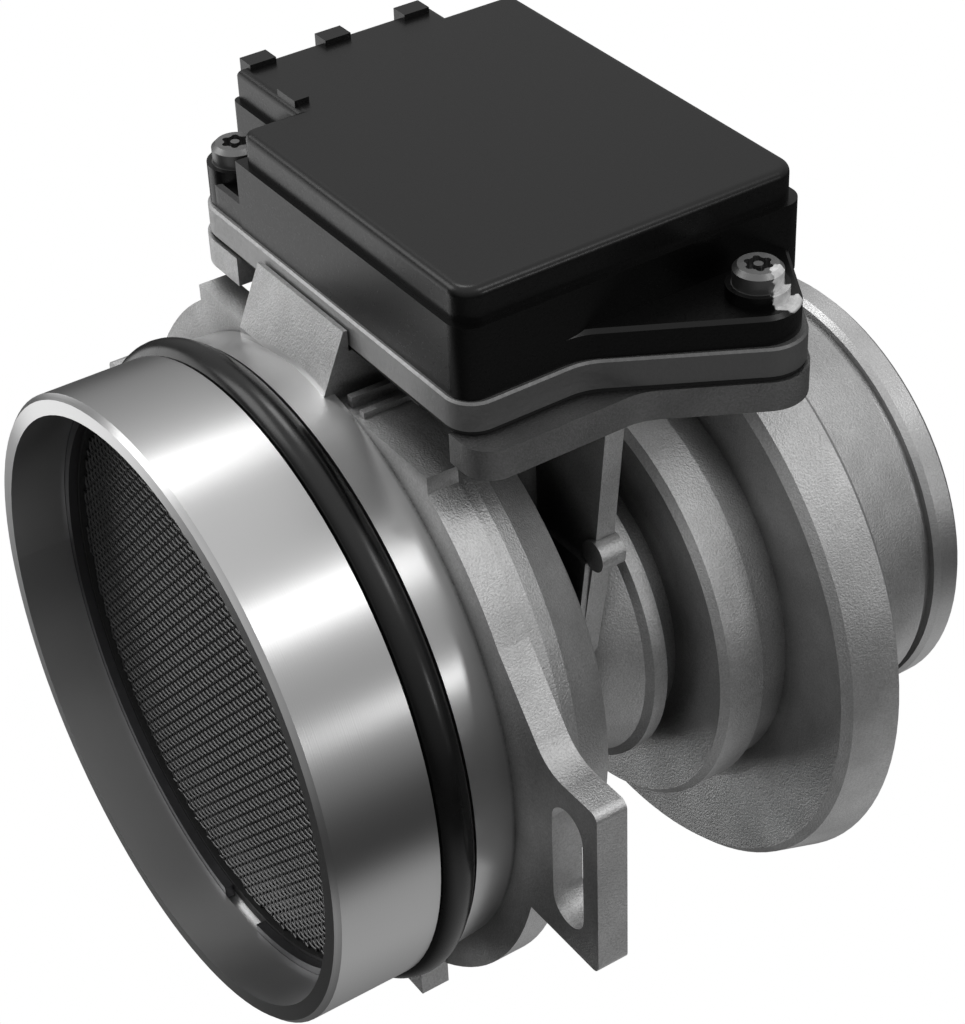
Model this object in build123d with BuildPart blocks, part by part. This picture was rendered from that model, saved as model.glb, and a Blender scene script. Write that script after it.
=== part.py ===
"""Mass airflow sensor for an engine's intake: a cast meter body with its inlet spigot, mesh screen,
mounting flange, venturi and bypass drums, and the black electronics module bolted on its platform.

The bore runs along X, from the inlet mouth at x = 0 towards the outlet, and Z points up.
The origin is the centre of the inlet mouth. Lengths are in millimetres.
"""
from build123d import *
import os
from math import cos, radians, sin

os.makedirs("parts", exist_ok=True)

# Inlet spigot, turned, with its seal groove
inlet_radius = 45.0
inlet_bore_radius = inlet_radius - 2.8
inlet_lip_round = 0.7
seal_groove_start = 15.2
seal_section = 5.2
seal_stretch_gap = 0.1
seal_stand_out = 1.5
land_end = 26.8

# Mounting flange and its two slotted lugs
flange_thickness = 4.5
flange_radius = inlet_radius + 4.3
lug_reach = 62.0
lug_half_height = 13.3
lug_corner = 1.2
lug_sweep = 10.0
lug_root_round = 7.0
slot_centre = lug_reach - 6.2
slot_width = 6.4
slot_length = 19.0

# Cast steps behind the flange, then the bell that shrinks to the throat
step_radius = inlet_radius + 1.2
step_length = 3.2
ridge_radius = inlet_radius - 1.6
ridge_length = 3.8
bell_end = 53.5
wall = 3.2
throat_bore_radius = 15.2
axis_drop = 9.5

# Neck, bypass drums and outlet, all on the lowered axis
neck_end = 66.0
neck_end_radius = 25.6
neck_lip_length = 3.4
neck_groove_radius = 22.6
small_drum_start = 68.6
small_drum_end = 76.4
small_drum_radius = 34.4
big_drum_start = 79.6
big_drum_end = 88.0
big_drum_radius = 47.2
big_drum_back_radius = 49.0
big_drum_drop = 11.8
outlet_root = 93.0
outlet_root_radius = 34.8
outlet_groove_start = 106.6
outlet_groove_width = 1.6
outlet_groove_radius = 31.9
outlet_lip_radius = 33.4
outlet_end = 113.0
outlet_bore_radius = 29.4

# Platform and the outline shared by gasket, base plate and housing foot
plan_left = 29.3
plan_right = 82.7
plan_half = 32.8
ear_start = 47.2
ear_tip_x = 71.3
ear_tip_y = -plan_half - 14.2
ear_side_y = -plan_half + 5.3
ear_round = 5.5
kink_round = 8.0
side_round = 10.0
plan_round = 4.0
corner_round = 5.5
platform_ledge = 3.5
platform_bottom = 45.2
platform_top = 49.4
shoulder_top = 43.0
shoulder_half = 28.0
pedestal_near = -7.0
pedestal_far = 14.0
pedestal_top = 52.4
recess_depth = 8.0
near_block = 29.5
far_block = 21.0
gasket_thickness = 0.6
plate_thickness = 4.0
plate_inset = 0.3
foot_inset = 1.0
foot_height = 4.0

# Electronics housing, lid and connector
housing_left = plan_left + 0.9
housing_right = plan_right - 0.9
housing_half = plan_half - 1.0
housing_height = 10.0
housing_wall = 2.0
lid_height = 4.6
lid_inset = 0.8
lid_skin = 1.8
lid_rim = 3.0
lid_tongue = 1.6
tongue_width = 1.5
tongue_clearance = 0.15
connector_width = 32.4
connector_reach = housing_half + 3.8
connector_wall = 1.8
connector_roof_skin = 1.0
connector_floor = plate_thickness + platform_top + gasket_thickness + 2.6
socket_depth = 8.0
socket_back_wall = 2.2
key_width = 4.0
key_rise = 0.8
key_length = 2.8
key_stand_out = 0.9

# Screws of the module and the steel sleeves in its ears
ear_screw = (69.0, -plan_half - 5.2)
corner_screw = (plan_left + 5.0, plan_half - 5.0)
notch_clearance = 0.9
screw_radius = 2.0
screw_clearance = 0.25
sleeve_radius = 3.3
boss_radius = 4.0
boss_height = 1.7
head_radius = 3.2
head_height = 2.6
screw_depth = 3.9

# Mesh screen
ring_groove_start = 8.3
ring_thickness = 1.3
ring_width = 2.2
ring_clearance = 0.1
screen_frame_length = 3.2
screen_frame_wall = 1.7
mesh_thickness = 0.8
mesh_pitch = 7.6
mesh_bar = 1.1
screen_shoulder_radius = inlet_bore_radius - 2.8

# Bypass duct, probe well and probe
well_x = 56.0
well_radius = 8.0
well_wall = 2.8
web_thickness = 3.0
web_top_reach = 26.5
web_middle_reach = 24.0
web_low_reach = 19.0
root_inner = 18.0
root_outer = 29.0
duct_height = 19.0
duct_radius = 3.5
duct_wall = 1.9
probe_clearance = 0.2
probe_tip = duct_height - 5.0
probe_window = 7.4
post_spacing = 4.8
post_radius = 0.45
wire_radius = 0.2
bead_radius = 0.9
bead_offset = 3.6
chamber_inner = small_drum_radius - 9.9
chamber_outer = 40.5
chamber_start = 73.0
chamber_end = 84.5
slit_width = 3.0

# Electronics
board_thickness = 1.0
board_clearance = 1.2
board_half_length = 21.0
board_half_width = 24.0
terminal_count = 5
terminal_pitch = 5.0
terminal_width = 2.2
terminal_thickness = 0.8

# Heights and places worked out from the sizes above
flange_end = land_end + flange_thickness
step_end = flange_end + step_length
ridge_end = step_end + ridge_length
seal_groove_end = seal_groove_start + seal_section + 2 * seal_stretch_gap
seal_groove_radius = inlet_radius + seal_stand_out - seal_section
gasket_top = platform_top + gasket_thickness
plate_top = gasket_top + plate_thickness
foot_top = plate_top + foot_height
housing_top = plate_top + housing_height
lid_top = housing_top + lid_height
throat_wall_radius = throat_bore_radius + wall
rear_axis = Axis((0, 0, -axis_drop), (1, 0, 0))
front_plane = Plane.XY
rear_plane = Plane.XY.offset(-axis_drop)
flange_middle = (land_end + ridge_end) / 2
notch_x = corner_screw[0] + head_radius + notch_clearance
notch_y = corner_screw[1] - head_radius - notch_clearance - 3.4
connector_left = notch_x
connector_right = connector_left + connector_width
connector_roof = housing_top - connector_roof_skin
socket_back = connector_reach - socket_depth
ring_groove_end = ring_groove_start + ring_thickness + ring_clearance
screen_seat_end = ring_groove_end + screen_frame_length


def outline_points(inset, ledge=0.0):
    """Corners of the module's plan, moved inwards by the inset: a rectangle with the near ear."""
    left = plan_left + inset
    right = plan_right - inset
    half = plan_half - inset
    return [
        (left, -half - ledge),
        (ear_start - inset * 0.3 + ledge * 1.6, -half - ledge),
        (ear_tip_x - inset * 0.4, ear_tip_y + inset * 1.4),
        (right, ear_side_y + inset * 0.4),
        (right, half),
        (left, half),
    ]


def plan_outline(sketch, inset, ledge=0.0):
    """The plan of platform, gasket, plate or foot, drawn in the open sketch and then rounded."""
    points = outline_points(inset, ledge)
    Polygon(*points, align=None)
    rounds = (plan_round, kink_round, ear_round, side_round, plan_round, corner_round)
    for point, radius in zip(points, rounds):
        corner = sketch.vertices().sort_by_distance((point[0], point[1], 0))[0]
        fillet(corner, radius)


def case_points(inset):
    """Outside of housing and lid: a rectangle with the notch of the corner screw and the connector."""
    left = housing_left + inset
    right = housing_right - inset
    half = housing_half - inset
    block_left = connector_left + inset
    block_right = connector_right - inset
    reach = connector_reach - inset
    return [
        (left, -half), (right, -half), (right, half), (block_right, half),
        (block_right, reach), (block_left, reach), (block_left, notch_y - inset), (left, notch_y - inset),
    ]


def room_points(inset):
    """The room inside the housing, which stops short of the notch and of the connector's socket."""
    left = housing_left + housing_wall + inset
    right = housing_right - housing_wall - inset
    half = housing_half - housing_wall - inset
    socket_side = connector_right + housing_wall + inset
    socket_wall = socket_back - socket_back_wall - inset
    screw_side = connector_left + housing_wall + inset
    screw_wall = notch_y - housing_wall - inset
    return [
        (left, -half), (right, -half), (right, half), (socket_side, half),
        (socket_side, socket_wall), (screw_side, socket_wall), (screw_side, screw_wall), (left, screw_wall),
    ]


# Meter body, one aluminium casting with turned ends
with BuildPart() as meter_body:
    # inlet spigot with the seal groove, flange disc and the steps behind it
    with BuildSketch(front_plane):
        with BuildLine():
            Polyline(
                (0, 0),
                (0, inlet_radius - inlet_lip_round),
                (inlet_lip_round, inlet_radius),
                (seal_groove_start, inlet_radius),
                (seal_groove_start, seal_groove_radius),
                (seal_groove_end, seal_groove_radius),
                (seal_groove_end, inlet_radius),
                (land_end, inlet_radius - 0.5),
                (land_end, flange_radius),
                (flange_end, flange_radius),
                (flange_end, step_radius),
                (step_end, step_radius),
                (step_end, ridge_radius),
                (ridge_end, ridge_radius - 0.8),
                (ridge_end, 0),
                close=True,
            )
        make_face()
    revolve(axis=Axis.X)
    # flat top across flange and steps, under the platform
    with BuildSketch(Plane.XY.offset(shoulder_top)):
        with Locations((flange_middle, 0)):
            Rectangle(ridge_end - land_end, 2 * flange_radius)
    extrude(amount=flange_radius, mode=Mode.SUBTRACT)
    # bell from the ridge down to the throat, between two circles on different axes
    with BuildSketch(Plane.YZ.offset(ridge_end)):
        Circle(ridge_radius - 0.8)
    for part_way, drop_share, radius_share in ((0.42, 0.25, 0.86), (0.75, 0.6, 0.56), (1.0, 0.9, 0.3)):
        with BuildSketch(Plane.YZ.offset(ridge_end + part_way * (bell_end - ridge_end))):
            with Locations((0, -axis_drop * drop_share)):
                Circle(throat_wall_radius + radius_share * (ridge_radius - throat_wall_radius))
    loft(ruled=True)
    # neck, the two bypass drums and the outlet with its hose lip
    with BuildSketch(rear_plane):
        with BuildLine():
            Polyline(
                (bell_end - 1, 0),
                (bell_end - 1, throat_wall_radius),
                (bell_end, throat_wall_radius),
                (neck_end - neck_lip_length, neck_end_radius - 1.3),
                (neck_end - neck_lip_length + 0.7, neck_end_radius),
                (neck_end - 0.5, neck_end_radius),
                (neck_end + 0.6, neck_groove_radius),
                (small_drum_start + 0.6, neck_groove_radius),
                (small_drum_start, small_drum_radius - 1.0),
                (small_drum_start + 1.0, small_drum_radius),
                (small_drum_end - 1.0, small_drum_radius),
                (small_drum_end - 0.4, small_drum_radius - 1.2),
                (big_drum_start + 1.0, small_drum_radius - 1.2),
                (outlet_root - 1.0, outlet_root_radius + 1.5),
                (outlet_root + 1.0, outlet_root_radius),
                (outlet_groove_start, outlet_lip_radius - 0.6),
                (outlet_groove_start, outlet_groove_radius),
                (outlet_groove_start + outlet_groove_width, outlet_groove_radius),
                (outlet_groove_start + outlet_groove_width, outlet_lip_radius - 0.5),
                (outlet_groove_start + outlet_groove_width + 1.0, outlet_lip_radius),
                (outlet_end - 0.8, outlet_lip_radius),
                (outlet_end, outlet_lip_radius - 0.8),
                (outlet_end, 0),
                close=True,
            )
        make_face()
    revolve(axis=rear_axis)
    with BuildSketch(Plane.XY.offset(-big_drum_drop)):
        with BuildLine():
            Polyline(
                (big_drum_start, 0),
                (big_drum_start + 0.8, small_drum_radius),
                (big_drum_start, big_drum_radius - 1.2),
                (big_drum_start + 1.2, big_drum_radius),
                (big_drum_end - 0.6, big_drum_back_radius),
                (big_drum_end + 1.2, big_drum_back_radius - 2.2),
                (outlet_root - 1.0, outlet_root_radius + 2.5),
                (outlet_root - 1.0, 0),
                close=True,
            )
        make_face()
    revolve(axis=Axis((0, 0, -big_drum_drop), (1, 0, 0)))
    # platform for the module, with the ledge that stands out below the plate
    with BuildSketch(Plane.XY.offset(platform_bottom)) as platform_plan:
        plan_outline(platform_plan, 0, platform_ledge)
    extrude(amount=platform_top - platform_bottom)
    # round column around the probe well, down to the throat
    with BuildSketch(Plane.XY.offset(platform_bottom + 1)):
        with Locations((well_x, 0)):
            Circle(well_radius + well_wall)
    extrude(amount=-(platform_bottom + 1 + axis_drop))
    # wall of the bypass duct between the column and the small drum
    with BuildSketch(Plane.YZ.offset(well_x)):
        with Locations((0, duct_height)):
            Circle(duct_radius + duct_wall)
    extrude(amount=small_drum_start + 1 - well_x)
    # square shoulders of the flange, and the pedestal that carries the platform's inlet edge
    with BuildSketch(Plane.YZ.offset(land_end)):
        with Locations((0, (shoulder_top + 20) / 2)):
            Rectangle(2 * shoulder_half, shoulder_top - 20)
    extrude(amount=flange_thickness)
    # recesses in the platform's inlet edge, on both sides of the pedestal
    with BuildSketch(Plane.XY.offset(platform_bottom)):
        with Locations((plan_left, (pedestal_near - near_block) / 2)):
            Rectangle(2 * recess_depth, near_block + pedestal_near)
        with Locations((plan_left, (pedestal_far + far_block) / 2)):
            Rectangle(2 * recess_depth, far_block - pedestal_far)
    extrude(amount=platform_top - platform_bottom, mode=Mode.SUBTRACT)
    # pedestal, rising in front of the plate's edge and leaning back from the spigot's land
    with BuildSketch(Plane.XY.offset(platform_top)):
        Polygon(
            (plan_left + 1, pedestal_near), (land_end + 1.4, pedestal_near),
            (land_end + 0.6, pedestal_far), (well_x, pedestal_far - 3), (well_x, pedestal_near),
            align=None,
        )
    extrude(amount=-(platform_top - shoulder_top + 6))
    with BuildSketch(Plane.XZ.offset(-pedestal_near)):
        Polygon(
            (land_end - 1.6, shoulder_top - 3), (land_end - 1.6, inlet_radius - 1.0),
            (plan_left - 0.6, pedestal_top), (plan_left, pedestal_top), (plan_left, shoulder_top - 3),
            align=None,
        )
    extrude(amount=-(pedestal_far - pedestal_near))
    # two small ribs in the near recess
    for rib_place, rib_rise in ((2.4, 1.6), (5.2, 0.8)):
        with BuildSketch(Plane.XY.offset(shoulder_top - 4)):
            with Locations((flange_middle - 1.0, pedestal_near - rib_place)):
                Rectangle(step_length + ridge_length + 1.0, 1.0)
        extrude(amount=rib_rise + 4)
    # near and far upright webs from the neck to the platform, thicker in their lower half
    for side in (-1, 1):
        with BuildSketch(Plane.YZ.offset(well_x - web_thickness / 2)):
            Polygon(
                (0, platform_bottom + 1),
                (side * (web_top_reach + 3.5), platform_bottom + 1),
                (side * (web_top_reach + 1.0), platform_bottom - 3),
                (side * web_top_reach, platform_bottom - 8),
                (side * web_middle_reach, 17.0),
                (side * web_low_reach, -axis_drop),
                (0, -axis_drop),
                align=None,
            )
        extrude(amount=web_thickness)
        with BuildSketch(Plane.YZ.offset(well_x - web_thickness / 2 - 1.0)):
            Polygon(
                (0, 14.6),
                (side * (web_middle_reach - 0.9), 14.6),
                (side * (web_low_reach + 0.4), -axis_drop),
                (0, -axis_drop),
                align=None,
            )
        extrude(amount=2.0)
        with BuildSketch(Plane.YZ.offset(well_x - web_thickness / 2 - 0.6)):
            with Locations((side * (web_middle_reach + 0.2), 16.4)):
                Circle(2.3)
        extrude(amount=web_thickness + 0.8)
        # root that spreads towards the inlet where the web meets the platform
        with BuildSketch(Plane.XZ.offset(min(-side * root_inner, -side * root_outer))):
            Polygon(
                (well_x, platform_bottom + 1), (well_x - 8.0, platform_bottom + 1),
                (well_x - 7.0, platform_bottom - 0.8), (well_x - web_thickness / 2, platform_bottom - 5.0),
                (well_x, platform_bottom - 5.0), align=None,
            )
        extrude(amount=root_outer - root_inner)
    # slotted lugs, with a hollow sweep from the disc down to each lug's top edge
    for side in (-1, 1):
        with BuildSketch(Plane.YZ.offset(land_end)) as lug_plan:
            Polygon(
                (side * (flange_radius - 9.3), 0),
                (side * (flange_radius - 8.3), flange_radius - 22.3),
                (side * (lug_reach - lug_sweep), lug_half_height),
                (side * lug_reach, lug_half_height),
                (side * lug_reach, -lug_half_height),
                (side * (flange_radius - 5.3), -lug_half_height),
                align=None,
            )
            sweep_corner = lug_plan.vertices().sort_by_distance(
                (side * (lug_reach - lug_sweep), lug_half_height, 0))[0]
            fillet(sweep_corner, lug_root_round)
            tip_low, tip_high = sorted((side * (lug_reach - 1), side * (lug_reach + 1)))
            tip_corners = lug_plan.vertices().filter_by_position(Axis.X, tip_low, tip_high)
            fillet(tip_corners, lug_corner)
        extrude(amount=flange_thickness)
    # locating tab at the bottom, in front of the flange
    with BuildSketch(Plane.XY.offset(-flange_radius + 3.6)):
        with Locations((land_end - 2.0, -22.6)):
            Rectangle(4.4, 6.0)
    extrude(amount=8)

    # hollow: inlet bore with the screen seat and ring groove
    with BuildSketch(front_plane):
        with BuildLine():
            Polyline(
                (-1, 0),
                (-1, inlet_bore_radius),
                (ring_groove_start, inlet_bore_radius),
                (ring_groove_start, inlet_bore_radius + 1.1),
                (ring_groove_end, inlet_bore_radius + 1.1),
                (ring_groove_end, inlet_bore_radius),
                (screen_seat_end, inlet_bore_radius),
                (screen_seat_end, screen_shoulder_radius),
                (flange_end, screen_shoulder_radius - 0.6),
                (flange_end, 0),
                close=True,
            )
        make_face()
    revolve(axis=Axis.X, mode=Mode.SUBTRACT)
    # hollow: bell mouth into the throat
    with BuildSketch(Plane.YZ.offset(flange_end)):
        Circle(screen_shoulder_radius - 0.6)
    with BuildSketch(Plane.YZ.offset((flange_end + bell_end) / 2)):
        with Locations((0, -axis_drop * 0.4)):
            Circle(throat_bore_radius + (screen_shoulder_radius - throat_bore_radius) * 0.62)
    with BuildSketch(Plane.YZ.offset(bell_end)):
        with Locations((0, -axis_drop)):
            Circle(throat_bore_radius)
    loft(ruled=True, mode=Mode.SUBTRACT)
    # hollow: throat and outlet cone
    with BuildSketch(rear_plane):
        with BuildLine():
            Polyline(
                (bell_end, 0),
                (bell_end, throat_bore_radius),
                (neck_end - 1.8, throat_bore_radius),
                (outlet_groove_start, outlet_bore_radius),
                (outlet_end + 1, outlet_bore_radius),
                (outlet_end + 1, 0),
                close=True,
            )
        make_face()
    revolve(axis=rear_axis, mode=Mode.SUBTRACT)
    # hollow: ring chamber of the bypass inside the drums
    with BuildSketch(rear_plane):
        with BuildLine():
            Polyline(
                (chamber_start, chamber_inner + 1.5),
                (chamber_start, small_drum_radius - wall - 1.2),
                (big_drum_start + 2.0, small_drum_radius - wall - 1.2),
                (big_drum_start + 2.5, chamber_outer),
                (chamber_end, chamber_outer),
                (chamber_end, chamber_inner + 3.5),
                close=True,
            )
        make_face()
    revolve(axis=rear_axis, mode=Mode.SUBTRACT)
    # bypass duct from the bell through the well to the ring chamber
    with BuildSketch(Plane.YZ.offset(flange_end + 4)):
        with Locations((0, duct_height)):
            Circle(duct_radius)
    extrude(amount=chamber_start + 2 - flange_end - 4, mode=Mode.SUBTRACT)
    # ring slit that lets the bypass air back into the outlet cone
    with BuildSketch(rear_plane):
        with BuildLine():
            Polyline(
                (chamber_start + 0.5, throat_bore_radius + 2),
                (chamber_start + 0.5, chamber_inner + 3),
                (chamber_start + 0.5 + slit_width, chamber_inner + 3),
                (chamber_start + 0.5 + slit_width, throat_bore_radius + 2),
                close=True,
            )
        make_face()
    revolve(axis=rear_axis, mode=Mode.SUBTRACT)
    # probe well
    with BuildSketch(Plane.XY.offset(platform_top)):
        with Locations((well_x, 0)):
            Circle(well_radius)
    extrude(amount=-(platform_top - duct_height + duct_radius + 2), mode=Mode.SUBTRACT)
    # tapped holes for the two module screws
    with BuildSketch(Plane.XY.offset(platform_top)):
        with Locations(ear_screw, corner_screw):
            Circle(screw_radius)
    extrude(amount=-screw_depth, mode=Mode.SUBTRACT)
    # slots in the lugs
    with BuildSketch(Plane.YZ.offset(land_end)):
        with Locations((slot_centre, 0), (-slot_centre, 0)):
            SlotOverall(slot_length, slot_width, rotation=90)
    extrude(amount=flange_thickness, mode=Mode.SUBTRACT)
meter_body.part.label = "meter_body"
export_step(meter_body.part, "parts/meter_body.step")
print("meter_body", round(meter_body.part.volume / 1000, 1), "cm3", len(meter_body.part.solids()), "solids")

# Rubber seal ring in the spigot's groove
with BuildPart() as inlet_seal_ring:
    with BuildSketch(front_plane):
        with Locations(((seal_groove_start + seal_groove_end) / 2, seal_groove_radius + seal_section / 2)):
            RegularPolygon(seal_section / 2, 12, major_radius=False, rotation=15)
    revolve(axis=Axis.X)
inlet_seal_ring.part.label = "inlet_seal_ring"
export_step(inlet_seal_ring.part, "parts/inlet_seal_ring.step")

# Screen: a coarse square lattice moulded in its round frame, seated on the shoulder in the bore
screen_front = ring_groove_end
with BuildPart() as screen_frame:
    with BuildSketch(Plane.YZ.offset(screen_front)):
        Circle(inlet_bore_radius - ring_clearance)
        Circle(inlet_bore_radius - ring_clearance - screen_frame_wall, mode=Mode.SUBTRACT)
    extrude(amount=screen_frame_length)
screen_frame.part.label = "screen_frame"
export_step(screen_frame.part, "parts/screen_frame.step")

# Screen mesh: ridges and gaps in one round wall, held in the frame
with BuildPart() as screen_mesh:
    with BuildSketch(Plane.YZ.offset(screen_front + 0.4)):
        Circle(inlet_bore_radius - ring_clearance - screen_frame_wall)
        with GridLocations(mesh_pitch, mesh_pitch, 9, 9):
            Rectangle(mesh_pitch - mesh_bar, mesh_pitch - mesh_bar, mode=Mode.SUBTRACT)
    extrude(amount=mesh_thickness)
screen_mesh.part.label = "screen_mesh"
export_step(screen_mesh.part, "parts/screen_mesh.step")

# Spring ring that holds the screen in, open at the bottom
with BuildPart() as screen_retaining_ring:
    with BuildSketch(Plane.YZ.offset(ring_groove_start + ring_clearance / 2)):
        Circle(inlet_bore_radius + 1.0)
        Circle(inlet_bore_radius + 1.0 - ring_width, mode=Mode.SUBTRACT)
        with Locations((0, -inlet_bore_radius)):
            Rectangle(9, 8, mode=Mode.SUBTRACT)
    extrude(amount=ring_thickness)
screen_retaining_ring.part.label = "screen_retaining_ring"
export_step(screen_retaining_ring.part, "parts/screen_retaining_ring.step")

# Gasket between platform and base plate
with BuildPart() as module_gasket:
    with BuildSketch(Plane.XY.offset(platform_top)) as gasket_plan:
        plan_outline(gasket_plan, 0.5)
        with Locations((well_x, 0)):
            Circle(well_radius, mode=Mode.SUBTRACT)
        with Locations(ear_screw, corner_screw):
            Circle(screw_radius + screw_clearance, mode=Mode.SUBTRACT)
    extrude(amount=gasket_thickness)
module_gasket.part.label = "module_gasket"
export_step(module_gasket.part, "parts/module_gasket.step")

# Base plate, aluminium
with BuildPart() as module_base_plate:
    with BuildSketch(Plane.XY.offset(gasket_top)) as plate_plan:
        plan_outline(plate_plan, plate_inset)
        with Locations((well_x, 0)):
            Circle(well_radius - 1.0, mode=Mode.SUBTRACT)
        with Locations(ear_screw, corner_screw):
            Circle(screw_radius + screw_clearance, mode=Mode.SUBTRACT)
    extrude(amount=plate_thickness)
    plate_edges = module_base_plate.faces().sort_by(Axis.Z)[-1].outer_wire().edges()
    chamfer(plate_edges, 0.3)
module_base_plate.part.label = "module_base_plate"
export_step(module_base_plate.part, "parts/module_base_plate.step")

# Housing of the electronics: foot with the ear, walls with the cut corner, connector on the far side
housing_centre_x = (housing_left + housing_right) / 2
housing_length = housing_right - housing_left
connector_centre_x = (connector_left + connector_right) / 2
socket_width = connector_width - 2 * connector_wall
terminal_level = connector_floor + 1.7
with BuildPart() as module_housing:
    with BuildSketch(Plane.XY.offset(plate_top)) as foot_plan:
        plan_outline(foot_plan, foot_inset)
    extrude(amount=foot_height)
    foot_edges = module_housing.faces().sort_by(Axis.Z)[-1].outer_wire().edges()
    chamfer(foot_edges, 0.5)
    with BuildSketch(Plane.XY.offset(plate_top)) as wall_plan:
        Polygon(*case_points(0), align=None)
        near_corners = wall_plan.vertices().group_by(Axis.Y)[0]
        fillet(near_corners, 3.0)
        block_corners = wall_plan.vertices().group_by(Axis.Y)[-1]
        fillet(block_corners, 1.2)
    extrude(amount=housing_height)
    # bosses of the screws
    with BuildSketch(Plane.XY.offset(plate_top)):
        with Locations(ear_screw, corner_screw):
            Circle(boss_radius)
    extrude(amount=foot_height + boss_height)
    # room inside for the board
    with BuildSketch(Plane.XY.offset(plate_top + 2.0)):
        Polygon(*room_points(0), align=None)
    extrude(amount=housing_height, mode=Mode.SUBTRACT)
    # socket of the connector, and slots for the terminals in its back wall
    with BuildSketch(Plane.XZ.offset(-socket_back)):
        with Locations((connector_centre_x, (connector_roof + connector_floor) / 2)):
            Rectangle(socket_width, connector_roof - connector_floor)
    extrude(amount=-socket_depth, mode=Mode.SUBTRACT)
    with BuildSketch(Plane.XZ.offset(-(socket_back - socket_back_wall))):
        with Locations((connector_centre_x, terminal_level)):
            with GridLocations(terminal_pitch, 1, terminal_count, 1):
                Rectangle(terminal_width, terminal_thickness)
    extrude(amount=-socket_back_wall, mode=Mode.SUBTRACT)
    # opening for the probe through the floor, and the two sleeve holes
    with BuildSketch(Plane.XY.offset(plate_top)):
        with Locations((well_x, 0)):
            Circle(well_radius - 1.0)
        with Locations(ear_screw, corner_screw):
            Circle(sleeve_radius)
    extrude(amount=foot_height + boss_height, mode=Mode.SUBTRACT)
module_housing.part.label = "module_housing"
export_step(module_housing.part, "parts/module_housing.step")

# Lid with a tongue that drops into the housing
with BuildPart() as module_lid:
    with BuildSketch(Plane.XY.offset(housing_top)) as lid_plan:
        Polygon(*case_points(lid_inset), align=None)
        near_corners = lid_plan.vertices().group_by(Axis.Y)[0]
        fillet(near_corners, 3.0)
        left_corner = lid_plan.vertices().sort_by_distance((housing_left, notch_y, 0))[0]
        fillet(left_corner, 1.6)
    extrude(amount=lid_height)
    lid_edges = module_lid.faces().sort_by(Axis.Z)[-1].outer_wire().edges()
    fillet(lid_edges, 1.2)
    # keys of the connector along its outer edge, and the latch nib at its corner
    with BuildSketch(Plane.XY.offset(housing_top)):
        for place in (0.12, 0.48, 0.87):
            with Locations((connector_left + place * connector_width,
                            connector_reach - lid_inset + key_stand_out - key_length / 2)):
                Rectangle(key_width, key_length)
    extrude(amount=lid_height + key_rise)
    with BuildSketch(Plane.XY.offset(housing_top + lid_skin)):
        with Locations((connector_left + 2.4, notch_y + 2.4)):
            Rectangle(2.2, 4.4)
    extrude(amount=lid_height - lid_skin + key_rise)
    # tongue that drops into the room
    with BuildSketch(Plane.XY.offset(housing_top)):
        Polygon(*room_points(tongue_clearance), align=None)
        Polygon(*room_points(tongue_clearance + tongue_width), align=None, mode=Mode.SUBTRACT)
    extrude(amount=-lid_tongue)
    with BuildSketch(Plane.XY.offset(housing_top)):
        Polygon(*room_points(tongue_clearance + lid_rim), align=None)
    extrude(amount=lid_height - lid_skin, mode=Mode.SUBTRACT)
module_lid.part.label = "module_lid"
export_step(module_lid.part, "parts/module_lid.step")

# Steel sleeves in the screw bosses, then the screws
for name, place in (("ear_sleeve", ear_screw), ("corner_sleeve", corner_screw)):
    with BuildPart() as sleeve:
        with BuildSketch(Plane.XY.offset(plate_top)):
            with Locations(place):
                Circle(sleeve_radius)
                Circle(screw_radius + screw_clearance, mode=Mode.SUBTRACT)
        extrude(amount=foot_height + boss_height)
    sleeve.part.label = name
    export_step(sleeve.part, "parts/" + name + ".step")
for name, place in (("module_screw_ear", ear_screw), ("module_screw_corner", corner_screw)):
    with BuildPart() as screw:
        with BuildSketch(Plane.XY.offset(platform_top - screw_depth + 0.4)):
            with Locations(place):
                Circle(screw_radius)
        extrude(amount=plate_top + foot_height + boss_height - platform_top + screw_depth - 0.4)
        with BuildSketch(Plane.XY.offset(foot_top + boss_height)):
            with Locations(place):
                Circle(head_radius)
        extrude(amount=head_height)
        head_edges = screw.edges().group_by(Axis.Z)[-1]
        chamfer(head_edges, 0.6)
        # six lobed recess with a pin left standing in its middle
        with BuildSketch(Plane.XY.offset(foot_top + boss_height + head_height)):
            with Locations(place):
                Circle(1.45)
                with PolarLocations(1.35, 6):
                    Circle(0.5)
                Circle(0.6, mode=Mode.SUBTRACT)
        extrude(amount=-1.5, mode=Mode.SUBTRACT)
    screw.part.label = name
    export_step(screw.part, "parts/" + name + ".step")

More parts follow.
